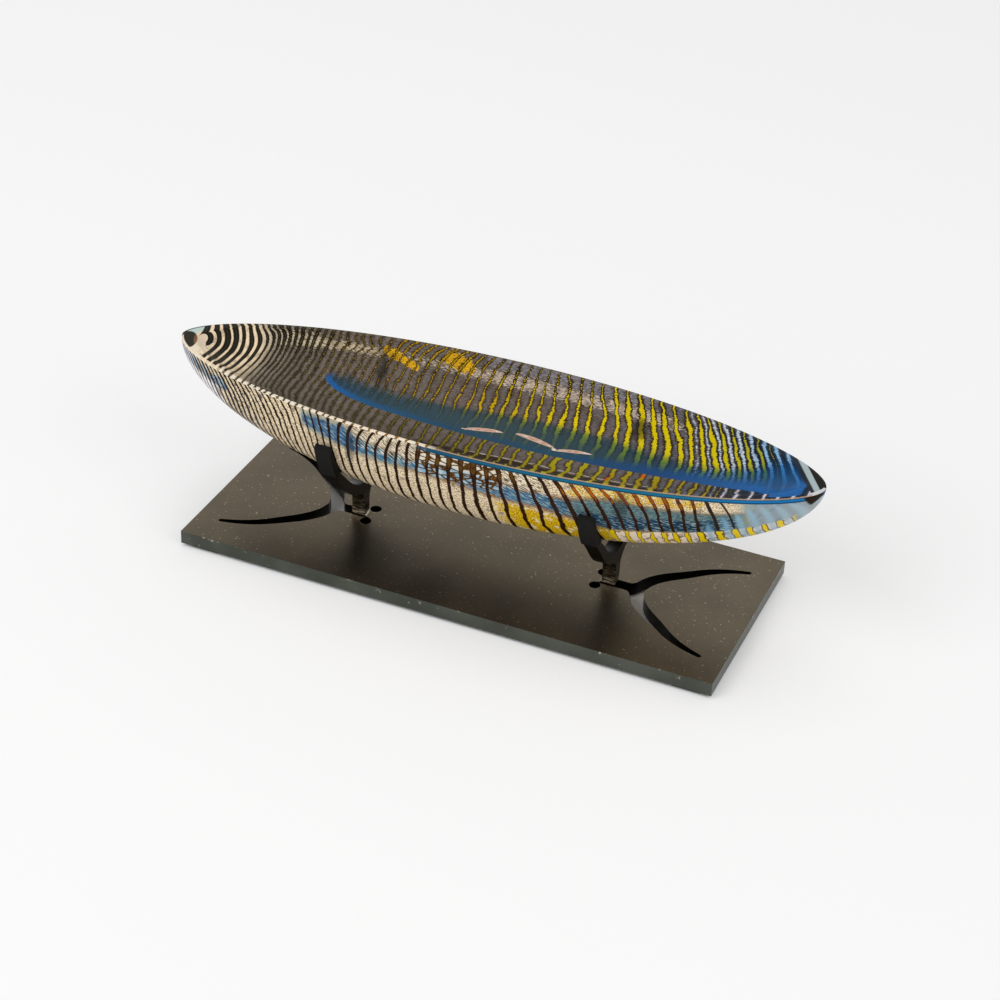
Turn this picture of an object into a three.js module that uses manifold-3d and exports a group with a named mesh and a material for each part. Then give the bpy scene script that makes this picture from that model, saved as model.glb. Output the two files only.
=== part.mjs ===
// A glass boat sculpture on a steel stand, in millimetres, +Z up.
// The origin is on the surface the stand rests on, under the middle of the plate.
import * as THREE from 'three';
import { mergeVertices } from 'three/addons/utils/BufferGeometryUtils.js';
import Module from 'manifold-3d';

const wasm = await Module();
wasm.setup();

// Steel plate, bar stock 20 in by 8 in by 1/2 in
const PLATE_LENGTH = 508;
const PLATE_WIDTH = 203.2;
const PLATE_THICKNESS = 12.7;

// Feet, rubber pads stuck under the corners of the plate
const FOOT_LENGTH = 30;
const FOOT_WIDTH = 24;
const FOOT_THICKNESS = 3;
const FOOT_END_INSET = 8;
const FOOT_SIDE_INSET = 3;
const FOOT_CORNER_RADIUS = 3;

// Boat: the rim is flat, and the sections under it are super-ellipses
const BOAT_LENGTH = 608.4;
const BOAT_BEAM = 170.2;
const HULL_DEPTH = 99.1;
const KEEL_CLEARANCE = 48;
const BOAT_TILT_DEGREES = 0.92;
const PLAN_POWER = 0.576;
const KEEL_POWER = 0.516;
const SECTION_POWER = 2.17;

// Bowl ground into the top of the boat
const RIM_WIDTH = 3.5;
const SOLID_TIP_LENGTH = 16;
const BOWL_DEPTH = 36;
const BOWL_LENGTH_POWER = 0.8;
const BOWL_SECTION_POWER = 1;

// Cradles: two forks cut out of the plate and bent up at right angles
const CRADLE_SPAN = 233.2;
const STEM_WIDTH = 10;
const CUP_HEIGHT = 38;
const CUP_EASE_POWER = 1.4;
const ARM_HEIGHT = 113.5;
const ARM_ROOT_WIDTH = 10.5;
const ARM_TIP_WIDTH = 2.4;
const ARM_TAPER_POWER = 1.6;
const ARM_TIP_FLARE = 2.5;
const ARM_CORNER_DROP = 12;
const BEND_RADIUS = 4;

// Slots that the forks leave: the arms were spread a little after they were cut
const SAW_KERF = 1;
const SLOT_OVERRUN = 3;
const ARM_SPREAD = 9.6;
const SPREAD_POWER = 0.75;
const RELIEF_HOLE_DIAMETER = 10.5;
const RELIEF_HOLE_GAP = 0.75;

// Rubber sleeves pulled over the arm tips, which carry the glass
const SLEEVE_LENGTH = 36;
const SLEEVE_WALL = 0.8;
const SLEEVE_FIT = 0.3;
const SEAT_CLEARANCE = 0.3;

// Faceting and accuracy
const HULL_STATIONS = 56;
const HULL_SEGMENTS = 28;
const BOWL_SEGMENTS = 20;
const ARM_STEPS = 18;
const HOLE_STEPS = 40;
const BEND_STEPS = 6;
const SLOT_END_STEPS = 8;
const STATION_SOLVE_STEPS = 6;
const HEIGHT_SOLVE_STEPS = 40;
const MERGE_TOLERANCE = 1e-4;

// Heights and places that follow from them
const plateTop = FOOT_THICKNESS + PLATE_THICKNESS;
const rimHeight = plateTop + KEEL_CLEARANCE + HULL_DEPTH;
const tilt = THREE.MathUtils.degToRad(BOAT_TILT_DEGREES);
const halfLength = BOAT_LENGTH / 2;
const halfBeam = BOAT_BEAM / 2;
const stemSide = STEM_WIDTH / 2;
const stemTop = CUP_HEIGHT - ARM_ROOT_WIDTH;
const cradleInner = CRADLE_SPAN / 2;
const cradleOuter = cradleInner + PLATE_THICKNESS;
const bendStart = cradleInner - BEND_RADIUS;
const sleeveStart = ARM_HEIGHT - SLEEVE_LENGTH;
const sleeveCover = SLEEVE_FIT + SLEEVE_WALL;
const keelAngle = Math.PI / 2;

function steelMaterial() {
  return new THREE.MeshStandardMaterial({ color: 0x4a443c, roughness: 0.45, metalness: 0.8 });
}

function glassMaterial() {
  return new THREE.MeshStandardMaterial({ color: 0x7d7f78, roughness: 0.06, metalness: 0 });
}

function rubberMaterial() {
  return new THREE.MeshStandardMaterial({ color: 0x161616, roughness: 0.8, metalness: 0 });
}

function namedMesh(name, geometry, material) {
  geometry.computeVertexNormals();
  const mesh = new THREE.Mesh(geometry, material);
  mesh.name = name;
  return mesh;
}

// A closed geometry as a solid that can be joined and cut
function solidOf(geometry) {
  const bare = geometry.clone();
  bare.deleteAttribute('normal');
  bare.deleteAttribute('uv');
  const merged = mergeVertices(bare, MERGE_TOLERANCE);
  const mesh = new wasm.Mesh({
    numProp: 3,
    vertProperties: new Float32Array(merged.attributes.position.array),
    triVerts: new Uint32Array(merged.index.array),
  });
  return new wasm.Manifold(mesh);
}

function geometryOf(solid) {
  const mesh = solid.getMesh();
  const geometry = new THREE.BufferGeometry();
  geometry.setAttribute('position', new THREE.BufferAttribute(new Float32Array(mesh.vertProperties), 3));
  geometry.setIndex(new THREE.BufferAttribute(new Uint32Array(mesh.triVerts), 1));
  return geometry;
}

// A closed outline, given as a list of [u, v], drawn out to a thickness along +Z
function extruded(points, depth) {
  const shape = new THREE.Shape(points.map(([u, v]) => new THREE.Vector2(u, v)));
  return new THREE.ExtrudeGeometry(shape, { depth, bevelEnabled: false });
}

// An outline drawn in (Y, Z), extruded along X from xStart
function extrudedAcross(points, xStart, thickness) {
  const turn = new THREE.Matrix4().makeBasis(
    new THREE.Vector3(0, 1, 0), new THREE.Vector3(0, 0, 1), new THREE.Vector3(1, 0, 0));
  return extruded(points, thickness).applyMatrix4(turn).translate(xStart, 0, 0);
}

// An outline drawn in (X, Z), extruded along Y and centred on Y = 0
function extrudedAlong(points, width) {
  const turn = new THREE.Matrix4().makeBasis(
    new THREE.Vector3(1, 0, 0), new THREE.Vector3(0, 0, 1), new THREE.Vector3(0, -1, 0));
  return extruded(points, width).applyMatrix4(turn).translate(0, width / 2, 0);
}

// Share of the full width or depth that is left at s, which runs from -1 to 1 along a length
function endTaper(s, power) {
  return Math.max(0, 1 - s * s) ** power;
}

// Hull form in the boat's own frame: X along it, the rim in the plane Z = 0
function planHalfWidth(x) {
  return halfBeam * endTaper(x / halfLength, PLAN_POWER);
}

function keelDepth(x) {
  return HULL_DEPTH * endTaper(x / halfLength, KEEL_POWER);
}

// Point of the section at x; angle 0 is the near rim, pi / 2 the keel and pi the far rim
function sectionPoint(x, angle) {
  const across = Math.abs(Math.cos(angle)) ** (2 / SECTION_POWER);
  const down = Math.abs(Math.sin(angle)) ** (2 / SECTION_POWER);
  return { y: -planHalfWidth(x) * Math.sign(Math.cos(angle)) * across, z: -keelDepth(x) * down };
}

// The boat's surface is three bands of rows, one row for each station from tip to tip
function boatGeometry() {
  const positions = [];
  const triangles = [];

  const addPoint = (x, y, z) => {
    positions.push(x, y, z);
    return positions.length / 3 - 1;
  };

  const addTriangle = (a, b, c) => {
    if (a !== b && b !== c && c !== a) {
      triangles.push(a, b, c);
    }
  };

  const fillBetween = (rows) => {
    for (let i = 0; i < HULL_STATIONS; i += 1) {
      const row = rows[i];
      const next = rows[i + 1];
      for (let j = 0; j + 1 < row.length; j += 1) {
        addTriangle(row[j], row[j + 1], next[j + 1]);
        addTriangle(row[j], next[j + 1], next[j]);
      }
    }
  };

  // Stations lie closer together towards the tips, where each row is a single point
  const makeRows = (reach, segments, pointAt) => {
    const rows = [];
    for (let i = 0; i <= HULL_STATIONS; i += 1) {
      const s = -Math.cos((Math.PI * i) / HULL_STATIONS);
      const atTip = i === 0 || i === HULL_STATIONS;
      const tip = atTip ? addPoint(s * reach, 0, 0) : null;
      const row = [];
      for (let j = 0; j <= segments; j += 1) {
        row.push(atTip ? tip : addPoint(s * reach, ...pointAt(s, j / segments)));
      }
      rows.push(row);
    }
    return rows;
  };

  // Outside, from the near rim round the keel to the far rim
  const hull = makeRows(halfLength, HULL_SEGMENTS, (s, share) => {
    const { y, z } = sectionPoint(s * halfLength, Math.PI * share);
    return [y, z];
  });

  // Inside, from the far edge of the bowl over its floor to the near edge
  const bowl = makeRows(halfLength - SOLID_TIP_LENGTH, BOWL_SEGMENTS, (s, share) => {
    const v = Math.cos(Math.PI * share);
    const depth = BOWL_DEPTH * endTaper(s, BOWL_LENGTH_POWER) * endTaper(v, BOWL_SECTION_POWER);
    return [(halfBeam - RIM_WIDTH) * endTaper(s, PLAN_POWER) * v, -depth];
  });

  fillBetween(hull);
  fillBetween(bowl);
  fillBetween(hull.map((row, i) => [bowl[i].at(-1), row[0]]));
  fillBetween(hull.map((row, i) => [row.at(-1), bowl[i][0]]));

  const geometry = new THREE.BufferGeometry();
  geometry.setAttribute('position', new THREE.Float32BufferAttribute(positions, 3));
  geometry.setIndex(triangles);
  return geometry;
}

// Point of the tilted hull in the plane X = worldX, as y, height above the plate and outward direction
function hullOutlineAt(worldX, angle) {
  let x = worldX;
  let point = sectionPoint(x, angle);
  for (let i = 0; i < STATION_SOLVE_STEPS; i += 1) {
    x = (worldX + point.z * Math.sin(tilt)) / Math.cos(tilt);
    point = sectionPoint(x, angle);
  }
  const width = planHalfWidth(x);
  const depth = keelDepth(x);
  const slopeY = Math.abs(point.y / width) ** (SECTION_POWER - 1) / width;
  const slopeZ = Math.abs(point.z / depth) ** (SECTION_POWER - 1) / depth;
  const size = Math.hypot(slopeY, slopeZ);
  return {
    y: point.y,
    height: rimHeight - plateTop + x * Math.sin(tilt) + point.z * Math.cos(tilt),
    outY: slopeY / size,
    outZ: -slopeZ / size,
  };
}

// Section angle, on the +Y side, at which an edge that keeps a gap to the hull reaches a height
function angleAtHeight(worldX, height, gap) {
  let low = keelAngle;
  let high = Math.PI;
  for (let i = 0; i < HEIGHT_SOLVE_STEPS; i += 1) {
    const middle = (low + high) / 2;
    const hull = hullOutlineAt(worldX, middle);
    if (hull.height + hull.outZ * gap < height) {
      low = middle;
    } else {
      high = middle;
    }
  }
  return low;
}

// Inner edge of the +Y arm, as [y, height above the plate], from the middle of the cup to the tip.
// It follows the hull where the sleeve is, leaves it towards the cup and flares a little at the tip.
function armInnerEdge(side) {
  const seatX = side * (cradleInner - sleeveCover);
  const seatGap = sleeveCover + SEAT_CLEARANCE;
  const cupGap = hullOutlineAt(seatX, keelAngle).height - CUP_HEIGHT;
  const seatAngle = angleAtHeight(seatX, sleeveStart, seatGap);
  const tipAngle = angleAtHeight(seatX, ARM_HEIGHT, seatGap + ARM_TIP_FLARE);
  const edge = [];
  for (let i = 0; i <= ARM_STEPS; i += 1) {
    const angle = THREE.MathUtils.lerp(keelAngle, tipAngle, i / ARM_STEPS);
    const hull = hullOutlineAt(seatX, angle);
    const awayFromSeat = THREE.MathUtils.smoothstep(seatAngle - angle, 0, seatAngle - keelAngle);
    const towardsTip = THREE.MathUtils.clamp((angle - seatAngle) / (tipAngle - seatAngle), 0, 1);
    const cupShare = awayFromSeat ** CUP_EASE_POWER;
    const gap = seatGap + (cupGap - seatGap) * cupShare + ARM_TIP_FLARE * towardsTip ** 2;
    edge.push([i === 0 ? 0 : hull.y + hull.outY * gap, hull.height + hull.outZ * gap]);
  }
  return edge;
}

// An edge moved sideways, away from the hull, by a distance that may vary along it
function offsetEdge(points, distanceAt) {
  return points.map(([y, z], i) => {
    const before = points[Math.max(0, i - 1)];
    const after = points[Math.min(points.length - 1, i + 1)];
    const along = i === 0 && y === 0 ? [1, 0] : [after[0] - before[0], after[1] - before[1]];
    const size = Math.hypot(along[0], along[1]);
    const distance = distanceAt(i / (points.length - 1));
    return [y + (along[1] / size) * distance, z - (along[0] / size) * distance];
  });
}

function armWidthAt(share) {
  return ARM_ROOT_WIDTH + (ARM_TIP_WIDTH - ARM_ROOT_WIDTH) * share ** ARM_TAPER_POWER;
}

// Both edges of the +Y arm, with the rounded corner from its outer edge into the stem
function armEdges(side) {
  const inner = armInnerEdge(side);
  const outer = offsetEdge(inner, armWidthAt).filter(([y]) => y > STEM_WIDTH);
  const corner = new THREE.QuadraticBezierCurve(
    new THREE.Vector2(stemSide, stemTop - ARM_CORNER_DROP),
    new THREE.Vector2(stemSide, stemTop),
    new THREE.Vector2(...outer[0]));
  const cornerPoints = corner.getPoints(BEND_STEPS).slice(0, -1).map(({ x, y }) => [x, y]);
  return { inner, outer: [...cornerPoints, ...outer] };
}

// Fork outline from the stem up the outer edge to the tip and down the inner edge, mirrored
function forkOutline({ inner, outer }, stemBottom) {
  const half = [[outer[0][0], stemBottom], ...outer, ...[...inner].reverse()];
  const mirrored = half.slice(0, -1).reverse().map(([y, z]) => [-y, z]);
  return [...half, ...mirrored];
}

// Round end of a slot past the arm's tip, half an ellipse from its outer edge to its inner edge
function slotEnd(outerTip, innerTip) {
  const middle = new THREE.Vector2(...outerTip).add(new THREE.Vector2(...innerTip)).divideScalar(2);
  const halfAcross = new THREE.Vector2(...outerTip).sub(middle);
  const ahead = new THREE.Vector2(-halfAcross.y, halfAcross.x).setLength(SLOT_OVERRUN);
  return Array.from({ length: SLOT_END_STEPS - 1 }, (_, i) => {
    const turn = (Math.PI * (i + 1)) / SLOT_END_STEPS;
    const across = halfAcross.clone().multiplyScalar(Math.cos(turn));
    return ahead.clone().multiplyScalar(Math.sin(turn)).add(across).add(middle).toArray();
  });
}

// The fork's slot in the plate: the fork as it was before its arms were spread, plus the kerf
function slotOutline(edges, side) {
  const unspread = ([y, z]) => [y - ARM_SPREAD * (Math.max(0, z) / ARM_HEIGHT) ** SPREAD_POWER, z];
  const inner = offsetEdge(edges.inner.slice(1).map(unspread), () => -SAW_KERF);
  const outer = offsetEdge(edges.outer.map(unspread), () => SAW_KERF);
  const cupBottom = [0, edges.inner[0][1] + SAW_KERF];
  const clearOfStem = outer.map(([y, z]) => [Math.max(y, stemSide + SAW_KERF), z]);
  const slotEdges = {
    inner: [cupBottom, ...inner.filter(([y]) => y > 0)],
    outer: [...clearOfStem, ...slotEnd(outer.at(-1), inner.at(-1))],
  };
  return forkOutline(slotEdges, -BEND_RADIUS).map(([y, z]) => [side * (cradleInner + z), y]);
}

// Stem and bend seen from the side: a tongue runs out of the plate and turns up
function bendOutline(side) {
  const arc = (radius) => Array.from({ length: BEND_STEPS + 1 }, (_, i) => {
    const turn = (keelAngle * i) / BEND_STEPS;
    return [bendStart + radius * Math.sin(turn), BEND_RADIUS - radius * Math.cos(turn)];
  });
  const tongueRoot = bendStart - PLATE_THICKNESS;
  const points = [
    [tongueRoot, -PLATE_THICKNESS],
    ...arc(BEND_RADIUS + PLATE_THICKNESS),
    [cradleOuter, stemTop],
    [cradleInner, stemTop],
    ...arc(BEND_RADIUS).reverse(),
    [tongueRoot, 0],
  ];
  return points.map(([x, z]) => [side * x, z + plateTop]);
}

// Side of a cradle plate that faces -X
function cradleStart(side) {
  return side > 0 ? cradleInner : -cradleOuter;
}

// Plate and both forks, one piece of steel
function steelBase() {
  const endX = PLATE_LENGTH / 2;
  const sideY = PLATE_WIDTH / 2;
  const plate = extruded([[-endX, -sideY], [endX, -sideY], [endX, sideY], [-endX, sideY]], PLATE_THICKNESS);
  const cutBottom = FOOT_THICKNESS - PLATE_THICKNESS;
  const cutDepth = plateTop + PLATE_THICKNESS - cutBottom;
  const holeRadius = RELIEF_HOLE_DIAMETER / 2;
  const holeY = stemSide + RELIEF_HOLE_GAP + holeRadius;
  let base = solidOf(plate.translate(0, 0, FOOT_THICKNESS));

  for (const side of [-1, 1]) {
    const edges = armEdges(side);
    const slot = extruded(slotOutline(edges, side), cutDepth);
    base = base.subtract(solidOf(slot.translate(0, 0, cutBottom)));

    for (const hand of [-1, 1]) {
      const hole = new THREE.CylinderGeometry(holeRadius, holeRadius, cutDepth, HOLE_STEPS);
      hole.rotateX(Math.PI / 2).translate(side * bendStart, hand * holeY, cutBottom + cutDepth / 2);
      base = base.subtract(solidOf(hole));
    }

    const fork = forkOutline(edges, edges.outer[0][1]).map(([y, z]) => [y, z + plateTop]);
    base = base.add(solidOf(extrudedAlong(bendOutline(side), STEM_WIDTH)));
    base = base.add(solidOf(extrudedAcross(fork, cradleStart(side), PLATE_THICKNESS)));
  }
  return geometryOf(base);
}

// Stretch of an arm above a height, as an outline grown by cover on its three free sides
function armTipOutline({ inner, outer }, fromHeight, cover, hand) {
  const cutAt = (edge) => {
    const index = edge.findIndex(([, z]) => z > fromHeight);
    const [y0, z0] = edge[index - 1];
    const [y1, z1] = edge[index];
    const share = (fromHeight - z0) / (z1 - z0);
    return [[y0 + (y1 - y0) * share, fromHeight], ...edge.slice(index)];
  };
  const raised = ([y, z]) => [y, z + cover];
  const innerEdge = offsetEdge(cutAt(inner), () => -cover);
  const outerEdge = offsetEdge(cutAt(outer), () => cover);
  const top = [raised(outerEdge.at(-1)), raised(innerEdge.at(-1))];
  const outline = [...outerEdge, ...top, ...innerEdge.reverse()];
  return outline.map(([y, z]) => [hand * y, z + plateTop]);
}

// A rubber cap round the tip of one arm, open at its lower end
function armSleeve(side, hand) {
  const edges = armEdges(side);
  const armTip = (fromHeight, cover) => {
    const outline = armTipOutline(edges, fromHeight, cover, hand);
    return solidOf(extrudedAcross(outline, cradleStart(side) - cover, PLATE_THICKNESS + 2 * cover));
  };
  const outside = armTip(sleeveStart, sleeveCover);
  const inside = armTip(sleeveStart - SLEEVE_WALL, SLEEVE_FIT);
  return geometryOf(outside.subtract(inside));
}

// A rectangular pad with round corners, centred on x, y
function footPad(x, y) {
  const shape = new THREE.Shape();
  const corners = [[1, -1], [1, 1], [-1, 1], [-1, -1]];
  corners.forEach(([signX, signY], i) => {
    const centreX = signX * (FOOT_LENGTH / 2 - FOOT_CORNER_RADIUS);
    const centreY = signY * (FOOT_WIDTH / 2 - FOOT_CORNER_RADIUS);
    const start = (Math.PI / 2) * (i - 1);
    shape.absarc(centreX, centreY, FOOT_CORNER_RADIUS, start, start + Math.PI / 2, false);
  });
  const options = { depth: FOOT_THICKNESS, bevelEnabled: false, curveSegments: BEND_STEPS };
  return new THREE.ExtrudeGeometry(shape, options).translate(x, y, 0);
}

const sculpture = new THREE.Group();

const boatGroup = new THREE.Group();
boatGroup.position.z = rimHeight;
boatGroup.rotation.y = -tilt;
boatGroup.add(namedMesh('glass_boat', boatGeometry(), glassMaterial()));
sculpture.add(boatGroup);

sculpture.add(namedMesh('steel_base', steelBase(), steelMaterial()));

const footX = PLATE_LENGTH / 2 - FOOT_END_INSET - FOOT_LENGTH / 2;
const footY = PLATE_WIDTH / 2 - FOOT_SIDE_INSET - FOOT_WIDTH / 2;
for (const [sideName, side] of [['left', -1], ['right', 1]]) {
  for (const [handName, hand] of [['front', -1], ['back', 1]]) {
    const place = `${sideName}_${handName}`;
    sculpture.add(namedMesh(`arm_sleeve_${place}`, armSleeve(side, hand), rubberMaterial()));
    sculpture.add(namedMesh(`foot_pad_${place}`, footPad(side * footX, hand * footY), rubberMaterial()));
  }
}

export default sculpture;
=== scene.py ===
"""Looks of the glass boat sculpture: a cased glass boat in a cradle stand of blackened steel."""
import math

import bmesh
import bpy
import numpy as np
from mathutils import Matrix, Vector


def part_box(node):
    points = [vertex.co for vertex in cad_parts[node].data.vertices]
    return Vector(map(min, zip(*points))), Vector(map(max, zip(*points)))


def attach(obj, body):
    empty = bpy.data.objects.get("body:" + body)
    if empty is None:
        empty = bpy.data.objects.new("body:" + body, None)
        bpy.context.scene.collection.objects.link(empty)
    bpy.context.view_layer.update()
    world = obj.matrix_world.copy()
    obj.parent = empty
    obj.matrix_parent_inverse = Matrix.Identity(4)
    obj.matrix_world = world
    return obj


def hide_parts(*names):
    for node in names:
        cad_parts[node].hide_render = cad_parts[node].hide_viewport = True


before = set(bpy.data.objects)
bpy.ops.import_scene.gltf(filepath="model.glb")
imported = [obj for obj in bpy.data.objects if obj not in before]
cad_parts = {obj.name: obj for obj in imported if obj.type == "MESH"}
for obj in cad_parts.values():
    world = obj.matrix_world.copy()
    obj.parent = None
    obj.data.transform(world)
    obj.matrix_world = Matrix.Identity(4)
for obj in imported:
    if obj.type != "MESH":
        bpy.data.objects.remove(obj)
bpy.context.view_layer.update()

MM = 0.001

# Boat, in millimetres: the outer form is the CAD model's
BOAT_TILT = math.radians(0.92)
HULL_DEPTH = 99.1
PLAN_POWER = 0.576
KEEL_POWER = 0.516
SECTION_POWER = 2.17
RIM_WIDTH = 3.5
SOLID_TIP_LENGTH = 16.0
BOWL_DEPTH = 36.0
BOWL_LENGTH_POWER = 0.8
RIM_OUTER_RADIUS = 0.8
RIM_INNER_BEVEL = 0.7
PLATE_THICKNESS = 12.7

# Mesh fineness
STATIONS = 300
HULL_STEPS = 120
BOWL_STEPS = 96
RIM_STEPS = 6
ARRIS_STEPS = 4

# Uneven marks in the glass, in millimetres: their size, or their length and height where they are long
DRIFT = 22.0
WOBBLE = 6.5
BLOTCH = 9.0
SPECK = 1.3
DASH_LENGTH = 3.6
DASH_HEIGHT = 0.95
STROKE_LENGTH = 7.0
STROKE_HEIGHT = 1.0
STROKE_SLANT = math.radians(-28)
OVAL_LENGTH = 10.0
OVAL_HEIGHT = 4.5

# Uneven marks in the steel and the rubber, in millimetres
PATINA = 70.0
STEEL_GRAIN = 1.1
DUST = 2.1
CHIP = 7.0
SCRATCH_LENGTH = 7.0
SCRATCH_HEIGHT = 0.6
RUBBER_GRAIN = 1.4

# Eased arrises, in millimetres: how wide, and how near points are taken as one
STEEL_ARRIS = 0.45
RUBBER_ARRIS = 0.3
WELD_DISTANCE = 0.02

# Faces that turn less than the first angle are one, and an arris stands where they turn more than the second
FLAT_ANGLE = math.radians(0.5)
SHARP_ANGLE = math.radians(35)

# Floor, in metres
FLOOR_SIZE = 12.0

# Stretch of the boat that the colour ramps run along, in millimetres
RAMP_START = -310.0
RAMP_LENGTH = 620.0

# Camera: solved from the corners of the plate in the photograph
CAMERA_PLACE = (0.673887, -1.676019, 1.245239)
CAMERA_AZIMUTH = math.radians(21.495)
CAMERA_ELEVATION = math.radians(33.128)
CAMERA_ROLL = math.radians(3.066)
CAMERA_LENS = 86.99
CAMERA_SENSOR = 36.0

# Node kinds
MATH = "ShaderNodeMath"
VECTOR_MATH = "ShaderNodeVectorMath"
COMBINE = "ShaderNodeCombineXYZ"
SEPARATE = "ShaderNodeSeparateXYZ"
MIX = "ShaderNodeMix"
MAP = "ShaderNodeMapRange"
NOISE = "ShaderNodeTexNoise"
RAMP = "ShaderNodeValToRGB"

boat_low, boat_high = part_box("glass_boat")
half_length = (boat_high.x - boat_low.x) / MM / 2 / math.cos(BOAT_TILT)
half_beam = (boat_high.y - boat_low.y) / MM / 2
rim_height = boat_high.z / MM - half_length * math.sin(BOAT_TILT)
bowl_half_length = half_length - SOLID_TIP_LENGTH
plate_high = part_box("steel_base")[1]
plate_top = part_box("foot_pad_left_front")[1].z + PLATE_THICKNESS * MM


def linear(hex_colour):
    """An sRGB hex colour as linear red, green, blue and alpha."""
    parts = [int(hex_colour[i:i + 2], 16) / 255 for i in (1, 3, 5)]
    return tuple(c / 12.92 if c <= 0.04045 else ((c + 0.055) / 1.055) ** 2.4 for c in parts) + (1.0,)


def add(tree, kind, inputs=(), out=0, stops=(), **settings):
    """Adds a node with its settings, ramp stops in millimetres and inputs, and gives one output."""
    made = tree.nodes.new(kind)
    for name, value in settings.items():
        setattr(made, name, value)
    for _ in stops[2:]:
        made.color_ramp.elements.new(1.0)
    for i, (place, colour) in enumerate(stops):
        made.color_ramp.elements[i].position = (place - RAMP_START) / RAMP_LENGTH
        made.color_ramp.elements[i].color = linear(colour)
    pairs = inputs.items() if isinstance(inputs, dict) else enumerate(inputs)
    for name, value in pairs:
        if isinstance(value, bpy.types.NodeSocket):
            tree.links.new(value, made.inputs[name])
        else:
            made.inputs[name].default_value = linear(value) if isinstance(value, str) else value
    return made.outputs[out] if len(made.outputs) else made


def lay(tree, ground, colour, value, start, end, strength=1.0, ragged=()):
    """Lays a colour over the ground where a value passes from start to end.

    ragged is a noise and the amount of it that is added to the value first, for an uneven edge.
    """
    if ragged:
        value = add(tree, MATH, (*ragged, value), operation="MULTIPLY_ADD")
    share = add(tree, MAP, {0: value, 1: start, 2: end, 4: strength}, interpolation_type="SMOOTHSTEP")
    return add(tree, MIX, {0: share, 6: ground, 7: colour}, 2, data_type="RGBA")


def put(name, data):
    """A new object with its data, linked into the scene."""
    made = bpy.data.objects.new(name, data)
    bpy.context.scene.collection.objects.link(made)
    return made


def new_material(name):
    """An empty node material and its tree."""
    material = bpy.data.materials.new(name)
    material.use_nodes = True
    material.node_tree.nodes.clear()
    return material, material.node_tree


def smooth(value, start, end):
    """0 before start, 1 after end, with a smooth step between."""
    t = np.clip((value - start) / (end - start), 0, 1)
    return t * t * (3 - 2 * t)


def between(value, low, high, soft):
    """1 between low and high, fading out over soft on both sides."""
    return smooth(value, low - soft, low + soft) * (1 - smooth(value, high - soft, high + soft))


def along(value, pairs):
    """Straight interpolation through given (place, value) pairs."""
    places, values = zip(*pairs)
    return np.interp(value, places, values)


# Spacing of the canes along the boat, as (place, millimetres)
BOWL_PITCH = ((-300, 8.0), (-278, 7.4), (-264, 7.0), (-250, 6.3), (-240, 5.8), (-228, 4.8), (-220, 4.0),
              (-210, 4.6), (-200, 5.6), (-188, 6.6), (-150, 7.0), (-130, 8.2), (-100, 9.0), (-70, 10.6),
              (10, 11.0), (60, 12.6), (100, 13.6), (160, 12.6), (190, 11.4), (215, 10.6), (240, 11.8),
              (300, 12.5))
HULL_PITCH = ((-300, 5.8), (-215, 6.2), (-165, 7.6), (-130, 8.4), (-100, 10.0), (30, 10.7), (60, 12.0),
              (110, 12.8), (150, 13.4), (190, 12.6), (215, 10.5), (300, 11.0))
FIRST_CANE = -278.0


def cane_count(place, pitch):
    """How many canes lie between the first one and a place, for a spacing that varies along the boat."""
    # Every half millimetre, past both tips
    fine = np.linspace(-340, 340, 1361)
    rate = 1 / along(fine, pitch)
    total = np.concatenate([[0], np.cumsum((rate[1:] + rate[:-1]) / 2 * np.diff(fine))])
    return np.interp(place, fine, total) - np.interp(FIRST_CANE, fine, total)


def bowl_cane_place(x, v):
    """Where the cane through x, v crosses the middle of the bowl; v is -1 at the near rim, 1 at the far."""
    far = np.maximum(v, 0)
    bend = along(x, ((-290, -8), (-262, -9), (-235, -11), (-215, -5), (-200, -1), (-160, 0), (-120, 0),
                     (-60, -4), (0, -6), (33, -10), (83, -18), (137, -25), (180, -26), (210, -24),
                     (235, -20), (290, -14)))
    power = along(x, ((-272, 1.7), (-250, 2.2), (-232, 6), (-150, 6), (-110, 3), (90, 3), (160, 2.2),
                      (300, 2)))
    hook = along(x, ((-150, 0), (-120, 6), (-100, 14), (-60, 15), (-30, 12), (0, 6), (30, 2), (50, 0)))
    jog = 4.5 * between(x, -168, -120, 10) * np.exp(-((v - 0.87) / 0.06) ** 2)
    near = along(x, ((-290, 3), (-262, 5), (-233, 8), (-222, 12), (-205, 18), (-190, 23), (-170, 28),
                     (-120, 30), (-50, 27), (20, 22), (80, 19), (150, 16), (220, 10), (260, 6), (290, 2)))
    return x - bend * far ** power - hook * far ** 9 - jog - near * np.maximum(-v, 0) ** 1.7


def hull_cane_place(x, a):
    """Where the cane through x, a meets the rim; a is in degrees down from the nearer rim."""
    lean = along(x, ((-300, 14), (-250, 15), (-200, 19), (-165, 17), (-130, 8), (-100, 3), (-60, 0),
                     (0, -2), (40, 5), (65, 12), (85, 18), (115, 25), (150, 26), (172, 21), (195, 11),
                     (212, 8), (235, 15), (300, 18)))
    hook = along(x, ((-128, 0), (-105, 8), (-80, 12), (-60, 10), (-42, 5), (-15, 1), (0, 0)))
    return x - lean * (1 - np.exp(-a / 13)) - hook * np.exp(-a / 5)


def seen_from(x, y, centre_x, centre_y, turn):
    """Places along and across a line that is turned about a centre."""
    c, s = math.cos(turn), math.sin(turn)
    return (x - centre_x) * c + (y - centre_y) * s, (y - centre_y) * c - (x - centre_x) * s


# Slender leaves laid on the blue: centre x and y, turn in degrees, length and width
LEAVES = ((-12, 13, 13, 46, 4.8), (36, 16, -11, 50, 5.0), (73, 11, 8, 42, 4.4))
LEAF_BOW = 1.8


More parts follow.
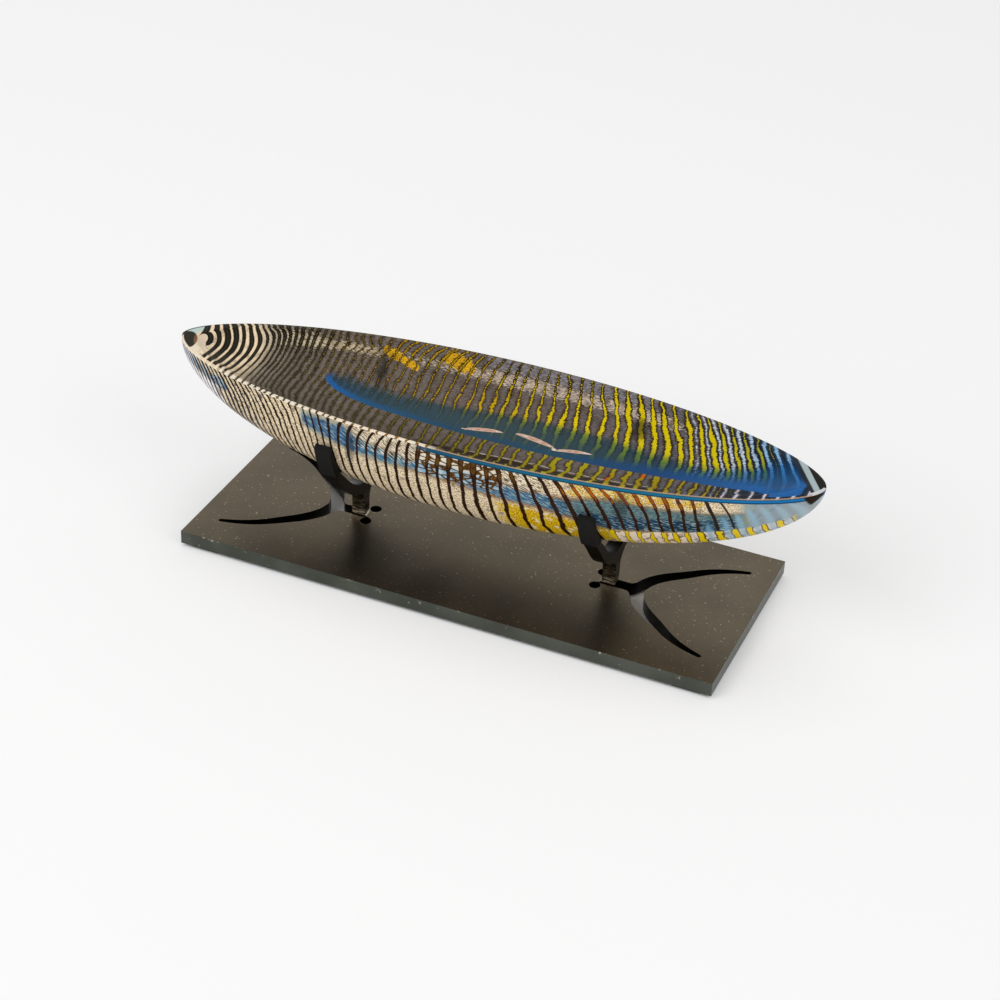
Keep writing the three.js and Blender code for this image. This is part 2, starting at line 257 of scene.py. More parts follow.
def leaf_marks(x, y):
    """How far inside the nearest leaf a point is, and how far it is from that leaf's midrib."""
    inside = np.full_like(x, -20.0)
    rib = np.full_like(x, 20.0)
    for centre_x, centre_y, turn, length, width in LEAVES:
        p, q = seen_from(x, y, centre_x, centre_y, math.radians(turn))
        q = q - LEAF_BOW * np.cos(p / length * math.pi)
        half = width / 2 * np.maximum(0, 1 - (2 * p / length) ** 2) ** 0.9
        depth = np.where(np.abs(p) < length / 2, half - np.abs(q), -3.0)
        rib = np.where(depth > inside, np.abs(q), rib)
        inside = np.maximum(inside, depth)
    return inside, rib


# Cream disc at the left tip and the dark pupil beside it: middle, turn, and half sizes
DISC_X, DISC_Y = -284.5, -3.1
DISC_TURN = math.radians(21.5)
DISC_HALF = (5.8, 15.0)
PUPIL_SHIFT = (-12.0, -4.0)
PUPIL_HALF = (9.6, 17.0)


def disc_marks(x, y):
    """How far inside the disc and inside the pupil a point is."""
    p, q = seen_from(x, y, DISC_X, DISC_Y, DISC_TURN)
    disc = (1 - np.hypot(p / DISC_HALF[0], q / DISC_HALF[1])) * DISC_HALF[0]
    pupil = 1 - np.hypot((p - PUPIL_SHIFT[0]) / PUPIL_HALF[0], (q - PUPIL_SHIFT[1]) / PUPIL_HALF[1])
    return disc, pupil * PUPIL_HALF[0]


def top_marks(x, y, v, over=0.0):
    """Values for the bowl and the rim; over is 0 at the inside of the far rim and 1 at its outside."""
    lip = along(x, ((-304, 4), (-291, 7), (-262, 9), (-245, 7), (-225, 3), (-200, 0), (60, 0), (150, 3),
                    (220, 4), (260, 7), (285, 8), (304, 4)))
    place = bowl_cane_place(x, v) + lip * over
    far = smooth(v, -0.02, 0.08)
    core_far = along(place, ((-225, 0), (-110, 0.2), (-60, 0.6), (-20, 1.3), (60, 1.9), (100, 2.3),
                             (130, 2.5), (170, 2.1), (220, 1.8), (250, 1.2), (262, 0.3), (272, -1)))
    middle_share = 0.4 * (1 - smooth(v, 0.76, 0.9)) + 0.6 * (1 - smooth(v, 0.52, 0.7))
    right_share = 1 - 0.65 * smooth(v, 0.84, 0.97)
    core_far = core_far * (middle_share + (right_share - middle_share) * smooth(place, 70, 125))
    core_far = core_far + 0.8 * smooth(v, 0.78, 0.88) * between(x, -122, -34, 10)
    core_near = along(place, ((-190, 0), (-100, 0.3), (-50, 0.8), (20, 1.1), (45, 1.7), (95, 2.2),
                              (160, 2.1), (185, 1.4), (205, 0.9), (225, 0), (235, -1)))
    core = core_near + (core_far - core_near) * far
    edge_far = along(place, ((-284, -4), (-281, 2.7), (-262, 2.4), (-248, 2.1), (-240, 1.6), (-234, 1.05),
                             (-224, 1.2), (-150, 1.15), (-100, 1.1), (0, 1.2), (60, 1.4), (150, 1.8),
                             (205, 2.0), (240, 2.7), (300, 3.4)))
    edge_far = edge_far + 0.5 * smooth(v, 0.78, 0.9) * between(x, -60, 130, 20)
    edge_far = edge_far + 0.5 * smooth(v, 0.45, 0.8) * between(x, -238, -172, 14)
    edge_near = along(place, ((-284, -4), (-281, 2.5), (-262, 2.2), (-247, 1.9), (-240, 1.1), (-232, 0.9),
                              (-180, 1.15), (0, 1.15), (150, 1.4), (200, 2.0), (228, 4.2), (300, 4.4)))
    dark_width = core + edge_near + (edge_far - edge_near) * far
    first_end = (1 - smooth(v, -0.75, -0.05)) * (1 - smooth(place, -276, -273.5))
    pale_far = along(place, ((150, -3), (182, 0.3), (206, 1.0), (228, 1.5), (300, 2.0)))
    pale_near = along(place, ((195, -3), (215, 0.8), (300, 1.6)))

    # Distance in from the outline, and the near rim line that ends before the tip
    taper = np.maximum(1e-4, 1 - (x / half_length) ** 2)
    outline = half_beam * taper ** PLAN_POWER
    edge = (outline - np.abs(y)) / np.hypot(1, outline * PLAN_POWER * 2 * x / half_length ** 2 / taper)
    near_line = np.where(y < 0, np.minimum(3.7 - edge, (x + 296) / 2), -5.0)

    # Blue inlay: v of its lower and upper edge along the boat, and how wide its deep lower part is
    low = along(x, ((-171, 0.32), (-166, 0.22), (-156, 0.13), (-140, 0.065), (-118, 0.03), (-60, 0.03),
                    (60, 0.0), (140, -0.02), (190, -0.08), (216, -0.18), (236, -0.27), (250, -0.42),
                    (258, -0.7), (266, -1.1)))
    high = along(x, ((-171, 0.32), (-166, 0.41), (-156, 0.45), (-130, 0.42), (-100, 0.4), (-50, 0.42),
                     (0, 0.48), (50, 0.5), (100, 0.5), (150, 0.42), (180, 0.36), (210, 0.38), (235, 0.55),
                     (255, 0.9), (275, 1.3)))
    width = (half_beam - RIM_WIDTH) * np.maximum(0, 1 - (x / bowl_half_length) ** 2) ** PLAN_POWER
    inlay_low = np.minimum((v - low) * width, x + 171)
    inlay_low = np.minimum(inlay_low, np.where(y < 0, (edge - 3.2) * 2, 60.0))
    deep_width = along(x, ((-171, 9), (-100, 10), (0, 12), (60, 13), (100, 17), (200, 20), (256, 24),
                           (290, 30)))

    first_amber = 2 * between(x, -134, -93, 3) - 1 - np.abs(v - 0.9 + 0.16 * (x + 136) / 42) / 0.07
    next_amber = 2 * between(x, -76, -42, 3) - 1 - np.abs(v - 0.93 + 0.09 * (x + 75) / 33) / 0.09
    seam_line = along(x, ((-40, -0.4), (20, -0.3), (55, -0.28), (110, -0.37), (170, -0.48)))
    shoulder_height = along(x, ((-240, 0.24), (-205, 0.16), (-180, 0.085)))
    shoulder_share = along(x, ((-250, 0), (-236, 1.0), (-200, 1.0), (-140, 0.8), (-90, 0.6), (-45, 0.8),
                               (0, 1), (150, 0.95), (185, 0)))
    belly_top = along(x, ((-50, -0.42), (-20, -0.34), (10, -0.29), (50, -0.3), (80, -0.36), (110, -0.41),
                          (180, -0.52)))
    belly = between(x, -44, 178, 24) * (1 - smooth(v, belly_top - 0.08, belly_top))
    # Painted shade: soft dark clouds where the cradle arms show through the glass
    patina_and_arm_shade_cloud = np.maximum(1 - np.hypot((x + 128 - 16 * (0.8 - v)) / 9, (v - 0.62) / 0.34),
                       1 - np.hypot((x - 121) / 11, (v - 0.66) / 0.22))
    spot = 1 - np.hypot((x - 145) / 6, (v + 0.09) / 0.08)
    streak = 0.7 - np.hypot((x - 119) / 5, (v + 0.35) / 0.4)
    leaf, rib = leaf_marks(x, y)
    disc, pupil = disc_marks(x, y)
    return {
        "cane_count": cane_count(place, BOWL_PITCH),
        "cane_place": place,
        "pitch": along(place, BOWL_PITCH),
        "dark_width": dark_width - 4 * first_end,
        "core_width": core,
        "pale_width": pale_near + (pale_far - pale_near) * far,
        "station": x,
        "across": y,
        "rough": along(x, ((-240, 0.12), (-195, 1), (220, 1), (255, 0.5), (290, 0.2))),
        "far_side": far,
        "inlay_low": inlay_low,
        "inlay_high": (high - v) * width * along(x, ((-110, 1), (-60, 1.7), (40, 1.7), (110, 1))),
        "inlay_deep": inlay_low / deep_width,
        "shoulder": np.exp(-((v - 0.83) / shoulder_height) ** 2) * shoulder_share,
        "amber": np.maximum(first_amber, next_amber),
        "belly": belly,
        "seam": (1 - np.abs(v - seam_line) / 0.035) * between(x, -15, 172, 12),
        "orange": np.maximum(spot, streak),
        "edge": edge,
        "near_line": near_line,
        "leaf": leaf,
        "leaf_rib": rib,
        "disc": disc,
        "pupil": np.minimum(pupil, edge - np.where(y < 0, 1.5, 0.6)),
        "gleam": np.minimum((-287 - x) / 3, (y + 2) / 3),
        "tip_edge": np.maximum(-301.8 - x, np.where(y > 1, 1.9 - edge, -5.0)),
        # Right tip: where the painted refraction band and the painted highlight lie
        "tip_band": x - 294.5 + 0.642 * y,
        "highlight_facet": np.where(y < 1, np.minimum(x - 291, 3.6 - edge), -5.0),
        "brow": between(x, -38, 128, 12) * smooth(v, 0.87, 0.94),
        "patina_and_arm_shade_cloud": patina_and_arm_shade_cloud,
    }


def hull_marks(x, a, girth, rim_drop):
    """Values for the outside; a is in degrees down from the nearer rim, rim_drop the way down from it."""
    place = hull_cane_place(x, a)
    centre = along(x, ((-147, 5.6), (-129, 6.9), (-105, 8.2), (-85, 11.4), (-60, 12.2), (-36, 12.2),
                       (0, 12.4), (40, 14.8), (80, 16.2), (100, 18.5), (140, 20.5), (190, 22.5), (230, 25)))
    half = along(x, ((-147, 4), (-129, 5.5), (-105, 6.8), (-85, 5), (-60, 4), (-36, 3.4), (0, 4.2),
                     (40, 5.2), (80, 5.4), (100, 6.6), (140, 12.5), (190, 10.5), (230, 11)))
    gold_low = along(x, ((0, 22), (60, 21), (100, 25), (145, 33)))
    gold_high = along(x, ((0, 33), (40, 44), (60, 58), (130, 60), (146, 44)))
    knots = between(x, -34, 62, 9) * (1 - smooth(a, 6, 12))
    warm = between(x, 96, 222, 12) * (1 - smooth(a, 8, 14))
    dark_width = along(place, ((-300, 1.7), (-235, 1.5), (-215, 1.3), (-180, 1.2), (-140, 1.2),
                               (-110, 1.45), (-40, 1.5), (60, 1.6), (120, 1.8), (200, 1.7), (225, 0.9),
                               (242, -0.5), (300, -2)))
    fading = smooth(a, 14, 24) * (1 - smooth(x, -262, -225))
    under_blue = smooth(x, 132, 142) * smooth(a, 31, 35)
    dark_width = dark_width - 0.9 * fading + 0.9 * knots + 0.4 * warm - 2.2 * under_blue
    pillar_top = along(x, ((200, 27), (215, 22), (227, 13), (240, 12), (252, 4), (300, 2)))
    above_pillar = 1 - smooth(a - pillar_top, -5, 13)
    return {
        "cane_count": cane_count(place, HULL_PITCH),
        "cane_place": place,
        "pitch": along(place, HULL_PITCH),
        "dark_width": dark_width,
        "core_width": dark_width - 3 + 2.2 * np.maximum(knots, warm),
        "pale_width": along(place, ((190, -3), (204, 1.4), (225, 2.2), (300, 2.8))) - 4 * above_pillar,
        "station": x,
        "across": girth,
        "rough": along(x, ((-262, 0.6), (-235, 1.2), (-215, 2.6), (-160, 2.4), (-140, 1.0), (205, 1),
                           (240, 0.15))),
        "rim_drop": rim_drop,
        "blue": np.minimum(np.minimum(half - np.abs(a - centre), x + 147), 250 - x) / 4,
        "left_blue": np.minimum(np.minimum((9 - np.abs(a - 11)) / 4, (-226 - x) / 8), (x + 291) / 4),
        "gold": np.minimum(np.minimum(a - gold_low, gold_high - a) / 4, (x - 34) / 20),
        "beads": np.minimum((a - 33) / 3, np.minimum((x - 136) / 8, (288 - x) / 8)),
        "net": between(x, -34, 46, 7) * (1 - smooth(a, 14, 18)),
        "thin_glass": np.maximum(1 - smooth(x, -292, -262), smooth(x, 236, 256)),
        "hatch": between(x, -100, 96, 10) * (1 - smooth(a, 11, 18)),
        "warm": warm,
        "cool": smooth(x, 86, 120) * (1 - smooth(a, 17, 24)),
        "tip_shade": np.minimum((x - 290 - 0.2 * a) / 2, (30 - a) / 6),
        "lilac_and_painted_light": np.minimum((-238 - x) / 16, (a - 14) / 8),
        "flecks": between(x, -236, -176, 12) * (1 - smooth(a, 22, 32)),
        # Painted shade: soft dark clouds where the cradle arms show through the glass
        "patina_and_arm_shade_cloud": np.maximum(1 - np.hypot((x + 96 + 0.16 * a) / 8, (a - 14) / 22),
                            1 - np.hypot((x - 152 + 0.2 * a) / 9, (a - 14) / 20)),
    }


def section_of(s):
    """Outside, far rim and bowl of one section at s, -1 to 1 along the boat, with angles and v."""
    taper = max(0.0, 1 - s * s)
    x_hull = s * half_length
    x_bowl = s * bowl_half_length
    width = half_beam * taper ** PLAN_POWER
    depth = HULL_DEPTH * taper ** KEEL_POWER
    bowl_width = (half_beam - RIM_WIDTH) * taper ** PLAN_POWER
    radius = min(RIM_OUTER_RADIUS, 0.3 * width, 0.3 * depth)
    bevel = min(RIM_INNER_BEVEL, 0.2 * bowl_width)

    start = math.asin(min(1.0, (radius / depth) ** (SECTION_POWER / 2))) if depth > 0 else 0.0
    angle = np.linspace(start, math.pi - start, HULL_STEPS + 1)
    hull_y = -width * np.sign(np.cos(angle)) * np.abs(np.cos(angle)) ** (2 / SECTION_POWER)
    hull_z = -depth * np.abs(np.sin(angle)) ** (2 / SECTION_POWER)
    hull = np.stack([np.full_like(angle, x_hull), hull_y, hull_z], 1)

    turn = np.linspace(0, math.pi / 2, ARRIS_STEPS + 1)
    share = np.linspace(0, 1, RIM_STEPS + 1)[1:]
    arris_y = width - radius + radius * np.cos(turn)
    arris_z = -radius + radius * np.sin(turn)
    flat_x = x_hull + (x_bowl - x_hull) * share
    flat_y = (width - radius) + (bowl_width + bevel - width + radius) * share
    rim = np.stack([np.concatenate([np.full_like(turn, x_hull), flat_x]),
                    np.concatenate([arris_y, flat_y]),
                    np.concatenate([arris_z, np.zeros(RIM_STEPS)])], 1)

    v_edge = 1 - bevel / bowl_width if bowl_width > 0 else 1.0
    v = np.cos(np.linspace(math.acos(v_edge), math.pi - math.acos(v_edge), BOWL_STEPS + 1))
    bowl_depth = BOWL_DEPTH * taper ** BOWL_LENGTH_POWER * (1 - v * v)
    bowl = np.stack([np.full_like(v, x_bowl), bowl_width * v, -bowl_depth], 1)
    return hull, rim, bowl, angle, v


def boat_strips():
    """The boat's surface as grids of points, each with its marks and the number of its finish."""
    sections = [section_of(s) for s in -np.cos(np.linspace(0, math.pi, STATIONS + 1))]
    hull, rim_far, bowl, angle, v = (np.array(rows) for rows in zip(*sections))

    angle = np.degrees(angle)
    steps = np.linalg.norm(np.diff(hull, axis=1), axis=2)
    run = np.concatenate([np.zeros((STATIONS + 1, 1)), np.cumsum(steps, 1)], 1)
    girth = run - run[:, HULL_STEPS // 2][:, None]
    rim_drop = np.minimum(run, run[:, -1:] - run)
    strips = [(hull, hull_marks(hull[..., 0], np.minimum(angle, 180 - angle), girth, rim_drop), 0)]
    strips.append((bowl, top_marks(bowl[..., 0], bowl[..., 1], v), 1))
    outward = np.linspace(1, 0, rim_far.shape[1])

    rim_near = (rim_far * np.array([1, -1, 1]))[:, ::-1]
    edge_far = np.stack([rim_far[:, -1], bowl[:, 0]], 1)
    edge_near = np.stack([bowl[:, -1], rim_near[:, 0]], 1)
    borders = ((rim_far, 1, outward), (rim_near, -1, 0), (edge_far, 1, 0), (edge_near, -1, 0))
    for points, side, over in borders:
        x = points[..., 0]
        strips.append((points, top_marks(x, points[..., 1], np.full_like(x, side), over), 1))
    return strips


def make_boat(strips, materials):
    """The boat as one closed mesh with its pattern marks, in the frame of the CAD model."""
    points, corners, finish = [], [], []
    corner_marks = {name: [] for strip in strips for name in strip[1]}
    offset = 0
    for grid, marks, number in strips:
        rows, columns = grid.shape[:2]
        index = offset + np.arange(rows * columns).reshape(rows, columns)
        quads = np.stack([index[:-1, :-1], index[:-1, 1:], index[1:, 1:], index[1:, :-1]], -1)
        quads = quads.reshape(-1, 4)
        points.append(grid.reshape(-1, 3))
        corners.append(quads)
        finish.append(np.full(len(quads), number))
        for name, values in corner_marks.items():
            values.append(marks[name].reshape(-1) if name in marks else np.zeros(rows * columns))
        offset += rows * columns
    points = np.concatenate(points)
    corners = np.concatenate(corners)
    finish = np.concatenate(finish)

    _, first, merged = np.unique(np.round(points, 4), axis=0, return_index=True, return_inverse=True)
    merged = merged.reshape(-1)
    c, s = math.cos(BOAT_TILT), math.sin(BOAT_TILT)
    x, y, z = points[first].T
    placed = np.stack([x * c - z * s, y, rim_height + x * s + z * c], 1) * MM

    faces, kept_corners, kept_finish = [], [], []
    for quad, number in zip(corners, finish):
        kept = [quad[i] for i in range(4) if merged[quad[i]] not in merged[quad[:i]]]
        if len(kept) >= 3:
            faces.append([int(merged[k]) for k in kept])
            kept_corners.extend(kept)
            kept_finish.append(number)

    mesh = bpy.data.meshes.new("glass_boat_cased")
    mesh.from_pydata(placed.tolist(), [], faces)
    for material in materials:
        mesh.materials.append(material)
    mesh.polygons.foreach_set("material_index", np.array(kept_finish, np.int32))
    mesh.polygons.foreach_set("use_smooth", np.ones(len(faces), bool))
    for name, values in corner_marks.items():
        kept_values = np.concatenate(values)[kept_corners].astype(np.float32)
        mesh.attributes.new(name, "FLOAT", "CORNER").data.foreach_set("value", kept_values)
    mesh.update()
    return put("glass_boat_cased", mesh)


def cane_sockets(tree, names, wander, tear):
    """Marks, noises and the distance to the nearest cane, uneven as drawn glass is."""
    sock = {name: add(tree, "ShaderNodeAttribute", out="Fac", attribute_name=name) for name in names}
    place = add(tree, COMBINE, (sock["station"], sock["across"]))
    for name, size, detail in (("drift", DRIFT, 1.0), ("wobble", WOBBLE, 2.0), ("blotch", BLOTCH, 3.0),
                               ("speck", SPECK, 4.0)):
        sock[name] = add(tree, NOISE, {
            "Vector": place, "Scale": 1 / size, "Detail": detail, "Roughness": 0.6})

    # Dashes along the boat, where the canes were drawn and cut, and strokes that slant down the side
    long_place = add(tree, VECTOR_MATH, (place, (1 / DASH_LENGTH, 1 / DASH_HEIGHT, 1.0)),
                     operation="MULTIPLY")
    sock["dash"] = add(tree, NOISE, {"Vector": long_place, "Scale": 1.0, "Detail": 3.0, "Roughness": 0.6})
    turned = add(tree, "ShaderNodeVectorRotate", {"Vector": place, "Angle": STROKE_SLANT},
                 rotation_type="Z_AXIS")
    slant_place = add(tree, VECTOR_MATH, (turned, (1 / STROKE_LENGTH, 1 / STROKE_HEIGHT, 1.0)),
                      operation="MULTIPLY")
    sock["stroke"] = add(tree, NOISE, {"Vector": slant_place, "Scale": 1.0, "Detail": 2.0})

    count = sock["cane_count"]
    for noise, share in ((sock["drift"], wander), (sock["wobble"], wander * 0.5)):
        loose = add(tree, MATH, (sock["rough"], share), operation="MULTIPLY")
        shift = add(tree, MATH, (noise, 0.5), operation="SUBTRACT")
        count = add(tree, MATH, (shift, loose, count), operation="MULTIPLY_ADD")
    number = add(tree, MATH, (count,), operation="ROUND")
    sock["chance"] = add(tree, "ShaderNodeTexWhiteNoise", {"W": number}, noise_dimensions="1D")
    from_cane = add(tree, MATH, (count, 0.5), operation="PINGPONG")
    clean = add(tree, MATH, (from_cane, sock["pitch"]), operation="MULTIPLY")
    comb = add(tree, MATH, (sock["dash"], 0.5), operation="SUBTRACT")
    torn = add(tree, MATH, (sock["rough"], tear), operation="MULTIPLY")
    uneven = add(tree, MATH, (comb, torn, clean), operation="MULTIPLY_ADD")
    narrow = add(tree, MAP, {0: sock["chance"], 3: 1.25, 4: 0.85})
    sock["distance"] = add(tree, MATH, (uneven, narrow), operation="MULTIPLY")
    half_pitch = add(tree, MATH, (sock["pitch"], 0.5), operation="MULTIPLY")
    midway = add(tree, MATH, (half_pitch, uneven), operation="SUBTRACT")
    for name, distance in (("dark", sock["distance"]), ("core", sock["distance"]), ("pale", midway)):
        sock[name] = add(tree, MATH, (sock[name + "_width"], distance), operation="SUBTRACT")
    for name in ("cane_place", "station"):
        ends = {0: sock[name], 1: RAMP_START, 2: RAMP_START + RAMP_LENGTH}
        sock["at_" + name] = add(tree, MAP, ends)
    return sock


# Opaque coloured glass, ground and polished under a thin clear skin: crisp but weak reflections
GLASS_LOOKS = {"Roughness": 0.34, "IOR": 1.5, "Specular IOR Level": 0.03, "Coat Weight": 0.05,
               "Coat Roughness": 0.05, "Coat IOR": 1.5}


def surface(tree, looks, height, strength, distance):
    """Ends a material with its looks and its bump."""
    bump = add(tree, "ShaderNodeBump", {"Strength": strength, "Distance": distance, "Height": height})
    shader = add(tree, "ShaderNodeBsdfPrincipled", {**looks, "Normal": bump})
    add(tree, "ShaderNodeOutputMaterial", {"Surface": shader})


def top_glass(names):
    """Bowl and rim: taupe and cream glass, dark canes with yellow cores, a blue inlay with three leaves."""
    material, tree = new_material("cased_glass_bowl")
    sock = cane_sockets(tree, names, 0.75, 5.6)

    ground = add(tree, RAMP, (sock["at_cane_place"],), stops=(
        (-300, "#F4E0C0"), (-238, "#F4E0C2"), (-228, "#A89C8C"), (-205, "#74695F"), (-100, "#6C6056"),
        (0, "#6A5E58"), (120, "#665C5C"), (200, "#5C5A62"), (245, "#2C3440"), (260, "#22344A")))
    light = add(tree, RAMP, (sock["at_cane_place"],), stops=(
        (-300, "#F5E6CE"), (-225, "#CFC4B6"), (-180, "#9C918A"), (0, "#8C827E"), (120, "#958D92"),
        (200, "#A2A4B6"), (300, "#6C96BC")))
    uneven = add(tree, MAP, {0: sock["cane_place"], 1: -240.0, 2: -215.0, 3: 0.08, 4: 1.0})
    combed = add(tree, MIX, {0: uneven, 2: 0.5, 3: sock["dash"]}, 0)
    speckled = add(tree, MIX, {0: uneven, 2: 0.5, 3: sock["speck"]}, 0)
    ground = lay(tree, ground, light, combed, 0.51, 0.66, 0.4)
    ground = lay(tree, ground, "#3A3028", combed, 0.47, 0.33, 0.5)
    ground = lay(tree, ground, "#A09A5C", sock["blotch"], 0.56, 0.68, 0.16)
    ground = lay(tree, ground, "#241E18", speckled, 0.44, 0.34, 0.45)
    shade = add(tree, RAMP, (sock["at_cane_place"],), stops=(
        (-300, "#EED2AA"), (-238, "#EED2AA"), (-224, "#5E5444"), (-190, "#3E342A"), (200, "#34302E"),
        (300, "#182838")))
    ground = lay(tree, ground, shade, sock["dark"], -2.4, -0.1, 0.6)

    # Shoulder under the far rim: beige dashes, and amber in blocks between the canes at the left
    shoulder = add(tree, RAMP, (sock["at_station"],), stops=(
        (-230, "#CDBEA0"), (-150, "#B9A47C"), (-100, "#A8977A"), (-28, "#B8A592"), (190, "#B3A296")))
    streaked = lay(tree, shoulder, "#D8C8B4", sock["dash"], 0.5, 0.62, 0.9)
    streaked = lay(tree, streaked, "#57493C", sock["dash"], 0.47, 0.37, 0.75)
    brow = lay(tree, "#6F6A6C", "#98959C", sock["dash"], 0.42, 0.6)
    ground = lay(tree, ground, brow, sock["brow"], 0.2, 0.9, 0.65)
    ground = lay(tree, ground, streaked, sock["shoulder"], 1.3, 1.75, 0.9, (sock["dash"], 1.7))
    blocks = add(tree, MATH, (sock["chance"], 0.5, sock["amber"]), operation="MULTIPLY_ADD")
    amber = lay(tree, "#8A5E08", "#DDA60A", sock["speck"], 0.38, 0.5)
    amber = lay(tree, amber, "#F0C414", sock["dash"], 0.52, 0.64, 0.8)
    ground = lay(tree, ground, amber, blocks, 1.05, 1.25, 0.95, (sock["dash"], 1.2))
    ground = lay(tree, ground, "#20140A", sock["belly"], 0.7, 1.4, 0.92, (sock["blotch"], 1.6))
    ground = lay(tree, ground, "#D2C0B0", sock["seam"], 1.6, 2.0, 0.9, (sock["dash"], 2.4))

    pale = add(tree, RAMP, (sock["at_cane_place"],), stops=(
        (140, "#86828A"), (190, "#A0A2AE"), (228, "#B8C2CE"), (262, "#7CB2DC"), (280, "#9CC0DA"),
        (300, "#C4CED2")))
    pale = lay(tree, "#CFC8D2", pale, sock["far_side"], 0.0, 1.0)
    smooth_pale = add(tree, MATH, (sock["dash"], sock["rough"]), operation="MULTIPLY")
    pale = lay(tree, pale, "#E4E8F0", smooth_pale, 0.5, 0.66, 0.7)
    pale = lay(tree, pale, "#3A3C46", sock["dash"], 0.47, 0.37, 0.6)
    ground = lay(tree, ground, pale, sock["pale"], -0.3, 0.5)

    # Speckled olive edges beside the canes, the canes and their cores
    skirt_colour = add(tree, RAMP, (sock["at_cane_place"],), stops=(
        (-300, "#E9CFA6"), (-232, "#D8C49C"), (-215, "#7C7048"), (-100, "#6A5E34"), (60, "#6E5A20"),
        (200, "#504A40")))
    colour = lay(tree, ground, skirt_colour, sock["dark"], 0.85, 1.5, 0.6, (sock["speck"], 2.6))
    dark = add(tree, RAMP, (sock["at_cane_place"],), stops=(
        (-300, "#16140E"), (-225, "#19140E"), (-60, "#21180C"), (60, "#33240E"), (180, "#2A2012"),
        (262, "#132030")))
    colour = lay(tree, colour, dark, sock["dark"], -0.25, 0.3)
    core_far = add(tree, RAMP, (sock["at_cane_place"],), stops=(
        (-200, "#5C5226"), (-128, "#A8820C"), (-40, "#B8930A"), (20, "#CDB006"), (60, "#DDC404"),
        (205, "#D2BE08"), (265, "#8F9A2A")))
    core_near = add(tree, RAMP, (sock["at_cane_place"],), stops=(
        (-220, "#4E4626"), (-40, "#7E7010"), (60, "#A3960C"), (95, "#A99C0C"), (150, "#A08A14")))
    core_near = lay(tree, core_near, "#C4600A", sock["orange"], 0.0, 0.5)
    core_colour = lay(tree, core_near, core_far, sock["far_side"], 0.0, 1.0)
    core_colour = lay(tree, core_colour, "#4A3A08", sock["speck"], 0.42, 0.34, 0.6)
    colour = lay(tree, colour, core_colour, sock["core"], -0.3, 0.3)
    # Painted shade where the cradle arms show through the glass
    colour = lay(tree, colour, "#17140F", sock["patina_and_arm_shade_cloud"], 0.6, 1.2, 0.75, (sock["blotch"], 1.0))

    # Blue inlay: a tint and a smoky veil over the canes, crisp and deep along its lower edge
    tint = add(tree, RAMP, (sock["at_station"],), stops=(
        (-172, "#8CC4F0"), (0, "#94BCCC"), (120, "#86B8D0"), (290, "#70B8EE")))
    veil = add(tree, RAMP, (sock["at_station"],), stops=(
        (-172, "#234868"), (-110, "#304A58"), (0, "#364A50"), (120, "#2C444E"), (220, "#244664"),
        (290, "#245A90")))
    deep_blue = add(tree, RAMP, (sock["at_station"],), stops=(
        (-172, "#1E62AA"), (-120, "#225680"), (-40, "#27495F"), (60, "#24495F"), (105, "#1A4670"),
        (160, "#164478"), (256, "#1B62A8")))
    deep_blue = lay(tree, deep_blue, "#173C62", sock["speck"], 0.48, 0.36, 0.6)
    inside = add(tree, MAP, {0: sock["inlay_low"], 2: 0.6}, interpolation_type="SMOOTHSTEP")
    soft_edge = add(tree, MATH, (sock["blotch"], 9.0, sock["inlay_high"]), operation="MULTIPLY_ADD")
    tinted = add(tree, MAP, {0: soft_edge, 1: 1.0, 2: 14.0}, interpolation_type="SMOOTHSTEP")
    tinted = add(tree, MATH, (tinted, inside), operation="MULTIPLY")
    veiled = add(tree, MAP, {0: soft_edge, 1: 3.0, 2: 28.0, 4: 0.82})
    veiled = add(tree, MATH, (veiled, inside), operation="MULTIPLY")
    colour = add(tree, MIX, {0: tinted, 6: colour, 7: tint}, 2, data_type="RGBA", blend_type="MULTIPLY")
    colour = add(tree, MIX, {0: veiled, 6: colour, 7: veil}, 2, data_type="RGBA")
    from_edge = add(tree, MATH, (sock["blotch"], 0.6, sock["inlay_deep"]), operation="MULTIPLY_ADD")
    deep = add(tree, MAP, {0: from_edge, 1: 1.35, 2: 0.6, 4: 0.92}, interpolation_type="SMOOTHSTEP")
    below_top = add(tree, MAP, {0: sock["inlay_high"], 1: -2.0, 2: 6.0})
    below_top = add(tree, MATH, (inside, below_top), operation="MULTIPLY")
    deep = add(tree, MATH, (deep, below_top), operation="MULTIPLY")
    colour = add(tree, MIX, {0: deep, 6: colour, 7: deep_blue}, 2, data_type="RGBA")

    # Leaves: salmon with a pale midrib and a thin pale outline
    salmon = lay(tree, "#B98A76", "#D6AC96", sock["dash"], 0.42, 0.6)
    salmon = lay(tree, salmon, "#E6DAD0", sock["leaf_rib"], 0.7, 0.35)
    salmon = lay(tree, salmon, "#DCCDC2", sock["leaf"], 0.6, 0.3, 0.8)
    colour = lay(tree, colour, salmon, sock["leaf"], 0.0, 0.3)

    # Near rim: cream with the ends of the canes at the left, a thin pale line along its outside further on
    crossing = add(tree, RAMP, (sock["at_station"],), stops=(
        (-300, "#F0E0C8"), (-247, "#E4CCAC"), (-236, "#6A5A36"), (-200, "#241C10"), (-150, "#34240E"),
        (-60, "#8A5A1A")))
    rim_cream = lay(tree, "#EFE2CC", crossing, sock["dark"], -0.2, 0.4)
    rim_right = lay(tree, colour, "#B39A80", sock["edge"], 0.2, -0.2, 0.8, (sock["dash"], -1.6))
    rim = lay(tree, rim_cream, rim_right, sock["station"], -30.0, -4.0)
    colour = lay(tree, colour, rim, sock["near_line"], -0.1, 0.3)

